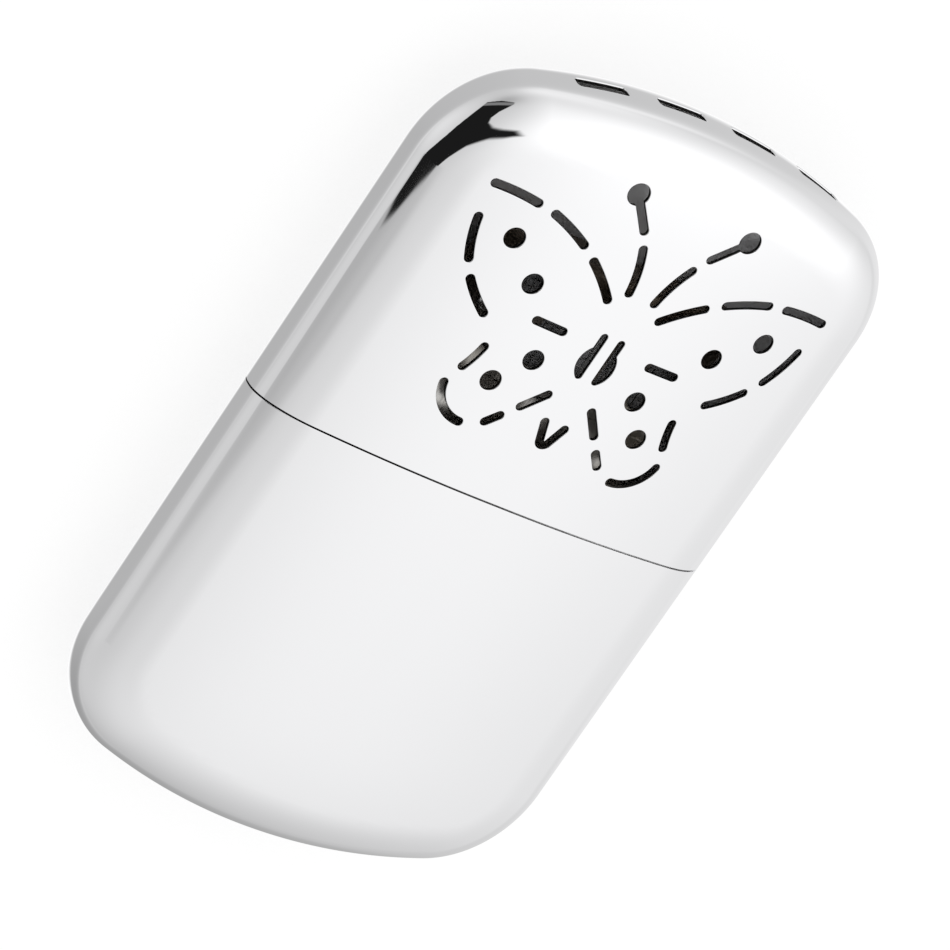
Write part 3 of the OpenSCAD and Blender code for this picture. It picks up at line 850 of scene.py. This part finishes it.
def skirtPiece(material):
    # wall on the neck, the ledge for the mat inside it, and the socket for the casing over that
    b, inner, fold = burner, burner["skirtInside"], burner["fold"]
    outer, ledge = inner + b["wall"], inner - b["ledgeWidth"]
    high, seat = b["casingFoot"] + b["socket"], b["casingFoot"] - b["lap"]
    return sweepOblong("burnerSkirt", [
        (outer, b["skirtFoot"], fold), (outer, high, fold), (inner, high, fold),
        (inner, seat, b["seatRound"]), (ledge, seat, fold), (ledge, b["ledgeFoot"], fold),
        (inner, b["ledgeFoot"], b["ledgeRound"]), (inner, b["skirtFoot"], fold)], material)


def atHeight(p, z):
    # points (x, y) with one z for all of them
    return np.concatenate([p, np.full((len(p), 1), z)], 1)


def casingFront(mesh, straight, foot, high, z, loops, way):
    # flat front between the two rounded sides, with its windows; gives the points of each window
    b = burner
    corners = [np.array([c]) * [straight, 1] for c in ((-1, foot), (1, foot), (1, high), (-1, high))]
    border = joinedLoop(corners, (b["frontPoints"], b["rows"]) * 2)
    gx, gy = np.meshgrid(np.linspace(-straight, straight, b["frontPoints"] + 1)[1:-1],
                         np.linspace(foot, high, b["rows"])[1:-1])
    inner, _ = clearOf(np.stack([gx.ravel(), gy.ravel()], 1), loops, b["windowRoom"])
    plan = np.concatenate([border, inner, *loops])
    index = addPoints(mesh, atHeight(plan, z))
    faces = triangulate(border, inner, loops)
    addFaces(mesh, index[faces], [0.0, 0.0, way])
    return np.split(index[len(border) + len(inner):], len(loops))


def casingPiece(name, face, material):
    # half a tray: sides and closed top swept round half the oblong, and a flat front with rolled windows
    b, side, run, lip, mesh = burner, burner["sidePoints"], burner["frontPoints"], windows["lip"], newMesh()
    foot = b["casingFoot"]
    angle = np.concatenate([np.linspace(b["parting"], quarter, side), np.full(run - 2, quarter),
                            np.linspace(quarter, np.pi - b["parting"], side)])
    x = np.concatenate([np.ones(side), np.linspace(1, -1, run)[1:-1], -np.ones(side)]) * neck["straight"]
    t = np.linspace(0, quarter, b["crownPoints"])
    skins = []
    for depth, way in ((0, 1), (b["wall"], -1)):
        r, crown, high = b["casing"] - depth, b["crownRadius"] - depth, b["casingTop"] - depth
        across = np.concatenate([[r, r], r - crown * (1 - np.cos(t[1:])), [b["shutTop"]]])
        along = np.concatenate([[foot, high - crown], high - crown + crown * np.sin(t[1:]), [high]])
        nr, ny = np.concatenate([[1], np.cos(t), [0]]), np.concatenate([[0], np.sin(t), [1]])
        index = addPoints(mesh, sweptGrid((x, np.cos(angle), np.sin(angle)), across, along))
        n = sweptGrid((x * 0, np.cos(angle), np.sin(angle)), nr, ny) * way
        for part in ((slice(side),), (slice(-side, None),), (slice(side - 1, 1 - side), slice(1, None))):
            addGrid(mesh, index[part], n[part])
        loops = slotOutlines(windows, lip if depth == 0 else 0)
        rings = casingFront(mesh, neck["straight"], foot, high - crown, r, loops, way)
        skins.append((index, rings))
    (outer, outerRings), (inner, innerRings) = skins
    for loop, first, last in zip(slotOutlines(windows, 0), outerRings, innerRings):
        inward = atHeight(loopInward(loop), 0)
        base = atHeight(loop, b["casing"]) - inward * lip
        addRound(mesh, first, last, base, np.array([[0.0, 0.0, 1.0]]), inward, lip, 0)
    # cut edges: along the foot and down both sides
    addGrid(mesh, np.stack([outer[:, 0], inner[:, 0]], 1), (0, -1, 0))
    for end in (0, -1):
        addGrid(mesh, np.stack([outer[end], inner[end]], 1), (0, 0, -1))
    if face < 0:
        mirrorMesh(mesh, [1, 1, -1])
    return buildMesh(name, mesh, [material])


gauze = dict(width=28.7, height=18.05, bottom=11.93, middle=3.52, pitch=1.1, wire=0.073, weave=0.07, sides=5,
             waveCells=4)


def gauzePiece(name, face, material):
    # plain weave: each wire is a tube along a sine wave, and crossing wires are half a wave apart
    g, mesh = gauze, newMesh()
    turn = np.linspace(0, 2 * np.pi, g["sides"] + 1)[:-1, None, None]
    c, d = np.cos(turn), np.sin(turn)
    for along, across, axis in ((g["width"], g["height"], 0), (g["height"], g["width"], 1)):
        wires = int((across - g["pitch"]) / g["pitch"])
        place = (np.arange(wires) - (wires - 1) / 2) * g["pitch"]
        s = np.linspace(-along / 2, along / 2, g["waveCells"] * int(along / g["pitch"]) + 1)
        phase = np.pi * (s / g["pitch"] + (np.arange(wires) + axis)[:, None] + (wires % 2) / 2)
        slope = g["weave"] * np.pi / g["pitch"] * np.cos(phase)
        lean = np.hypot(1, slope)
        n = [-c * slope / lean, d + 0 * c * slope, c / lean]   # along the wire, across it, and up
        centre = s, place[:, None], g["weave"] * np.sin(phase)
        p = [v + g["wire"] * w for v, w in zip(centre, n)]
        order = [axis, 1 - axis, 2]
        p, n = (np.stack(v, -1)[..., order] for v in (p, n))
        p = (p + [0, g["bottom"] + g["height"] / 2, g["middle"]]) * [1, 1, face]
        index = addPoints(mesh, p)
        for w in range(wires):
            addGrid(mesh, index[:, w], n[:, w] * [1, 1, face], closed=True)
            for end, way in ((0, -1.0), (-1, 1.0)):
                ring = index[:, w, end]
                fan = np.stack([np.full(g["sides"] - 2, ring[0]), ring[1:-1], ring[2:]], 1)
                addFaces(mesh, fan, np.eye(3)[axis] * way)
    return buildMesh(name, mesh, [material])


mat = dict(width=28.7, height=18.05, bottom=11.93, halfThickness=3.34, corner=1.1, edge=0.6, tuft=0.05,
           lump=1.9, cornerPoints=10, sidePoints=(90, 14), facePoints=9, edgePoints=7, wallPoints=62)


def matPiece(material):
    # a rounded block: a rectangle plus an arc of the corner's radius less the edge's shrink; the reach draws
    # both ends in to the middle
    m, corner, edge = mat, mat["corner"], mat["edge"]
    w, h = m["width"] / 2 - corner, m["halfThickness"] - corner
    corners = []
    for base, start in (((w, h), 0), ((-w, h), 90), ((-w, -h), 180), ((w, -h), 270)):
        turn = arcOf((0, 0), 1, start, start + 90, m["cornerPoints"])
        corners.append(np.concatenate([np.broadcast_to(base, turn.shape), turn], 1))
    loop = joinedLoop(corners, m["sidePoints"] * 2)
    # columns: reach, shrink and height, from the middle of the foot up to the wall, then the same downwards
    t = np.linspace(0, quarter, m["edgePoints"])
    face = np.linspace(0, 1, m["facePoints"])[:-1]
    foot = np.concatenate([np.stack([face, face * 0 + edge, face * 0], 1),
                           np.stack([t * 0 + 1, edge * (1 - np.sin(t)), edge * (1 - np.cos(t))], 1)])
    head = foot[::-1] * [1, 1, -1] + [0, 0, m["height"]]
    reach, shrink, y = np.concatenate([foot, lineInside(foot[-1], head[0], m["wallPoints"]), head]).T
    baseX, baseZ, dx, dz = (v[:, None] for v in loop.T)
    across, high = (corner - shrink) * reach, np.broadcast_to(y + m["bottom"], (len(loop), len(y)))
    grid = np.stack([baseX + dx * across, high, baseZ * reach + dz * across], -1)
    lump = np.abs(roughen(grid, m["lump"], m["tuft"]))[..., None]
    return addSmooth("catalystPad", grid - np.stack([dx * reach, high * 0, dz * reach], -1) * lump, material)


def rivetPiece(material):
    # turned about z: a shank between two domed heads, each with a rounded rim
    b, rim, mesh = burner, burner["headRim"], newMesh()
    t = np.linspace(0, quarter, b["domePoints"])
    wide, foot, bend = b["headRadius"] - rim, b["headFoot"], t[::3]   # the rim's arc takes every third angle
    domeR = np.concatenate([[b["rivetRadius"], wide], wide + rim * np.sin(bend), wide * np.cos(t[1:])])
    domeZ = np.concatenate([[foot] * 2, foot + rim * (1 - np.cos(bend)),
                            foot + rim + (b["headTop"] - foot - rim) * np.sin(t[1:])])
    r, z = np.concatenate([domeR[::-1], domeR]), np.concatenate([-domeZ[::-1], domeZ])
    dr, dz = np.gradient(r), np.gradient(z)
    length = np.maximum(np.hypot(dr, dz), tiny)
    turn = np.linspace(0, 2 * np.pi, b["turnPoints"])[:-1, None]
    cos, sin = np.cos(turn), np.sin(turn)
    n = np.stack([cos * dz / length, sin * dz / length, 0 * cos - dr / length], -1)
    for side in (-1, 1):
        grid = np.stack([side * b["rivetX"] + cos * r, windows["level"] + sin * r, z + 0 * cos], -1)
        addGrid(mesh, addPoints(mesh, grid), n, closed=True)
    return buildMesh("burnerRivetPair", mesh, [material])


collarMetal = satinPlate("collarPlating", (0.78, 0.78, 0.77), 0.2)
neckMetal = satinPlate("neckPlating", (0.76, 0.76, 0.75), 0.26)
# painted shade along the seam on the collar
seamShadeLine(collarMetal)
sheetMetal = burnerSheet()
gauzeWire = grainyMetal("gauzeWire", (0.5, 0.49, 0.48), roughness=0.34, scale=1500.0, swing=0.3, dark=0.75)
rivetMetal = grainyMetal("rivetSteel", (0.6, 0.6, 0.6), roughness=0.25, scale=1500.0, swing=0.3, dark=0.75)
whiteFelt, cottonWool, glassFibre = (fibreMass(*fibre) for fibre in (
    # name, dark tone, light tone, cycles per metre, stretch of the strands, and their height in metres
    ("whiteFelt", (0.74, 0.72, 0.67), (0.93, 0.92, 0.89), 1800.0, (3.0, 1.0, 0.6), 0.00012),
    ("cottonWool", (0.84, 0.83, 0.8), (0.96, 0.95, 0.93), 700.0, (2.0, 1.0, 0.6), 0.0003),
    ("catalystFibre", (0.17, 0.17, 0.175), (0.42, 0.42, 0.43), 1500.0, (3.0, 1.0, 0.5), 0.00015)))

ridePiece(collarPiece(collarMetal), "neck_collar", "tank")
ridePiece(neckPiece(neckMetal), "filler_neck", "tank")
ridePiece(feltPiece(whiteFelt), "neck_felt", "tank")
ridePiece(skirtPiece(sheetMetal), "burner_base", "burner")
for side, way in (("front", 1), ("rear", -1)):
    ridePiece(casingPiece(side + "Casing", way, sheetMetal), f"burner_{side}_shell", "burner")
    ridePiece(gauzePiece(side + "Gauze", way, gauzeWire), f"burner_{side}_gauze", "burner")
ridePiece(matPiece(glassFibre), "catalyst_mat", "burner")
ridePiece(rivetPiece(rivetMetal), "burner_rivets", "burner")
for node, material in (("tank_top_plate", neckMetal), ("cotton_wadding", cottonWool)):
    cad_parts[node].data.materials.clear()
    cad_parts[node].data.materials.append(material)
print("inner pieces done")


# camera

view = dict(place=(-393.69, 214.70, 543.44), turn=(-35.03486, -20.40524, 34.96928), lens=229.8, sensor=36.0,
            clip=(0.01, 50))
cameraData = bpy.data.cameras.new("camera")
cameraData.lens, cameraData.sensor_width = view["lens"], view["sensor"]
cameraData.clip_start, cameraData.clip_end = view["clip"]
camera = bpy.data.objects.new("camera", cameraData)
camera.location = [v * metre for v in view["place"]]
camera.rotation_euler = np.radians(view["turn"]).tolist()
bpy.context.scene.collection.objects.link(camera)
bpy.context.scene.camera = camera
print("camera done")


# studio: white floor, a dome that only metal sees, and the dark camera in it

studio = dict(
    floorDrop=0.05, floorTone=0.4, floorGlow=0.65, fill=0.95, reach=20000.0,
    offsets=(-14, -8, -6, -4.5, -3, -2, -1, *range(11), 12, 15, 20, 30, 45, 70, 110, 300, 1000, 5000, 40000),
    foot=(4.2, 4.7, -3.2), footLevel=1.04, footSoft=1.7,      # how far the bright floor reaches from the body
    near=(0.653, 0.173, 0.109, -0.15), nearReach=(8, 90),     # the greyer floor round it, and where it ends
    base=0.589, most=1.08,
    lobes=[   # X, Y, width and gain of each soft light or shade
        (33, 12, 32, 0.75), (6, -39, 31, 0.14), (9, -17, 12, -0.09), (90, -15, 34, 0.23),
        (-29, 54, 12, -0.20), (-64, -81, 39, 0.42), (23, 52, 27, 0.26), (-78, 13, 32, 0.25),
        (22, 87, 14, 0.21), (-7, 86, 14, 0.22), (61, 57, 15, 0.12), (-83, -95, 51, -0.60),
    ],
    # grey strip under the camera: its sides lean in by lean degrees for each degree below y = turn
    band=dict(tone=(0.46, 0.53), toneFrom=(-48, -26), left=(-62, -57), right=(-14, -26), top=(-14, -17),
              foot=(-26, -19.5), lean=(3, 4), turn=(-20, -18)),
    # dome's points: start, stop and step of each stretch, finer where the camera's sharp edges are
    across=((-96, -64, 2.0), (-64, 16, 0.6), (16, 97, 2.0)),
    upward=((-96, -22, 2.0), (-22, -20, 0.4), (-20, -15, 0.1), (-15, 56, 0.6), (56, 97, 2.0)),
    rim=93, horizon=90,   # degrees from the zenith: the dome's edge, and level with the floor
)
lens = dict(
    black=0.011, soft=(0.12, 1.7), softFrom=(-28, -5), topTone=0.2, topFrom=(42.5, 44.5), topTo=(50.5, 48.5),
    outline=[(-46.6, 51), (-46.6, 22.5), (-48, 4), (-52, -6), (-56, -13), (-57.5, -18.5), (-56.8, -19.15),
             (-53, -18.8), (-48.6, -18.47), (-41.4, -17.72), (-34.8, -16.9), (-28.8, -16.33), (-25.5, -15.8),
             (-24, -13.4), (-22, -10.3), (-19.3, -7.5), (-15.6, -3.2), (-6, 1), (1, 1), (7, 3), (2, 8),
             (-6, 9), (-13, 11), (-20.4, 16.4), (-23.5, 22.5), (-23.5, 31), (-19.4, 46), (-20.4, 50),
             (-33, 53)],
)


def between(v, start, stop):
    # 0 at start, 1 at stop, and the smooth step t^2 (3 - 2t) between them
    t = np.clip((v - start) / (stop - start), 0, 1)
    return t * t * (3 - 2 * t)


def blend(first, second, share):
    # first where the share is 0, second where it is 1
    return first * (1 - share) + second * share


def towards(x, y):
    # unit direction whose angle from the zenith is |(x, y)| degrees, turned towards (x, y)
    zenith, azimuth = np.radians(np.hypot(x, y)), np.arctan2(x, y)
    return np.stack([np.sin(zenith) * np.sin(azimuth), np.sin(zenith) * np.cos(azimuth), np.cos(zenith)], -1)


def skyLevel(x, y):
    # base plus gain exp(-(angle / width)^2) for each lobe
    d, level = towards(x, y), studio["base"]
    for lobeX, lobeY, width, gain in studio["lobes"]:
        angle = np.degrees(np.arccos(np.clip(d @ towards(lobeX, lobeY), -1, 1)))
        level = level + gain * np.exp(-(angle / width) ** 2)
    return np.minimum(level, studio["most"])


def loopDepth(p, loop):
    # distance of many points to the nearest side of a closed loop, positive inside it
    side = np.roll(loop, -1, 0) - loop
    along = np.clip(((p[:, None] - loop) * side).sum(-1) / np.maximum((side ** 2).sum(-1), tiny), 0, 1)
    reach = np.linalg.norm(p[:, None] - loop - along[..., None] * side, axis=-1).min(1)
    return np.where(insideLoop(p, loop), reach, -reach)


def domeLevel(x, y):
    # sky, then the grey strip over it, then the dark camera
    band = studio["band"]
    left, right = (lean * np.maximum(0, turn - y) for lean, turn in zip(band["lean"], band["turn"]))
    share = (between(x - left, *band["left"]) * between(x + right, *band["right"]) * between(y, *band["top"])
             * between(y, *band["foot"]))
    level = blend(skyLevel(x, y), blend(*band["tone"], between(x, *band["toneFrom"])), share)
    depth = loopDepth(np.stack([x.ravel(), y.ravel()], 1), np.array(lens["outline"], float)).reshape(x.shape)
    soft = blend(*lens["soft"], between(x, *lens["softFrom"]))
    tone = lens["black"] + lens["topTone"] * between(y, *lens["topFrom"]) * between(y, *lens["topTo"])
    return blend(level, tone, between(depth, -soft, soft))


def studioSheet(name, p, key, value, material, closed=False):
    # quads over a grid of points, with a level for each point under the key
    rows, cols = p.shape[:2]
    k = np.arange(rows * cols).reshape(rows, cols)
    if closed:
        k = np.concatenate([k, k[:, :1]], 1)
    quads = np.stack([k[:-1, :-1], k[:-1, 1:], k[1:, 1:], k[1:, :-1]], -1).reshape(-1, 4)
    data = bpy.data.meshes.new(name)
    data.from_pydata((p.reshape(-1, 3) * metre).tolist(), [], quads.tolist())
    data.attributes.new(key, "FLOAT", "POINT").data.foreach_set("value", value.ravel().astype(np.float32))
    data.materials.append(material)
    sheet = bpy.data.objects.new(name, data)
    bpy.context.scene.collection.objects.link(sheet)


def seenByMetal(name, key, plain):
    # metal sees the level under the key as light, and everything else sees the plain shader
    material = bpy.data.materials.new(name)
    material.use_nodes = True
    material.cycles.emission_sampling = "NONE"
    tree = material.node_tree
    tree.nodes.clear()
    level = addNode(tree, "ShaderNodeAttribute", attribute_name=key).outputs["Fac"]
    light = addNode(tree, "ShaderNodeEmission", {"Strength": level}).outputs[0]
    glossy = addNode(tree, "ShaderNodeLightPath").outputs["Is Glossy Ray"]
    mix = addNode(tree, "ShaderNodeMixShader", {0: glossy, 1: plain(tree), 2: light})
    addNode(tree, "ShaderNodeOutputMaterial", {"Surface": mix.outputs[0]})
    return material


def glowingCloth(tree):
    cloth = addNode(tree, "ShaderNodeBsdfDiffuse", {"Color": (*[studio["floorTone"]] * 3, 1)})
    glow = addNode(tree, "ShaderNodeEmission", {"Strength": studio["floorGlow"]})
    return addNode(tree, "ShaderNodeAddShader", {0: cloth.outputs[0], 1: glow.outputs[0]}).outputs[0]


def clearShader(tree):
    return addNode(tree, "ShaderNodeBsdfTransparent").outputs[0]


def whiteFloor():
    # rings at distances from the body's outline, with its outward direction n; metal sees a level that is
    # bright up to foot . (1, nx, ny), then near . (1, nx, ny, ny^2), then the dome's own level at the horizon
    half = outlinePath(0.0)
    x, y, nx, ny = np.concatenate([half, half[-2:0:-1] * [1, -1, 1, -1]]).T
    out = np.array(studio["offsets"], float)[:, None]
    drop = np.full((len(out), len(x)), -studio["floorDrop"])
    p = np.stack([x + nx * out, y + ny * out, drop], -1)
    middle = np.stack([x * 0, y * 0.5, drop[0]], -1)
    azimuth = np.arctan2(p[..., 0], p[..., 1])
    horizon = skyLevel(studio["horizon"] * np.sin(azimuth), studio["horizon"] * np.cos(azimuth))
    near = np.array(studio["near"]) @ np.stack([nx * 0 + 1, nx, ny, ny ** 2])
    edge = np.array(studio["foot"]) @ np.stack([nx * 0 + 1, nx, ny])
    bright = 1 - between(out, edge - studio["footSoft"], edge + studio["footSoft"])
    seen = blend(blend(near, horizon, between(out, *studio["nearReach"])), studio["footLevel"], bright)
    studioSheet("floor", np.concatenate([middle[None], p]), "mirrored", np.concatenate([seen[:1], seen]),
                seenByMetal("floorWhite", "mirrored", glowingCloth), closed=True)


def mirrorDome():
    # a far dome that only metal sees; what lies past the rim, just under the horizon, is folded onto it
    x, y = np.meshgrid(*(np.concatenate([np.arange(*stretch) for stretch in studio[key]])
                         for key in ("across", "upward")))
    pull = np.minimum(1, studio["rim"] / np.maximum(np.hypot(x, y), 1))
    x, y = x * pull, y * pull
    studioSheet("mirrorDome", studio["reach"] * towards(x, y), "level", domeLevel(x, y),
                seenByMetal("mirrorDome", "level", clearShader))


def whiteWorld():
    # white where the camera looks past the floor, and a plain fill for everything that isn't metal
    world = bpy.data.worlds.new("studio")
    bpy.context.scene.world = world
    world.use_nodes = True
    tree = world.node_tree
    tree.nodes.clear()
    path = addNode(tree, "ShaderNodeLightPath").outputs
    fill, white = (addNode(tree, "ShaderNodeBackground", {"Color": (1, 1, 1, 1), "Strength": power})
                   for power in (studio["fill"], 1.0))
    seen = mathOf(tree, "MAXIMUM", path["Is Camera Ray"], path["Is Transmission Ray"])
    mix = addNode(tree, "ShaderNodeMixShader", {0: seen, 1: fill.outputs[0], 2: white.outputs[0]})
    addNode(tree, "ShaderNodeOutputWorld", {"Surface": mix.outputs[0]})


whiteFloor()
mirrorDome()
whiteWorld()
bpy.context.scene.view_settings.view_transform = "Standard"
print("studio done")
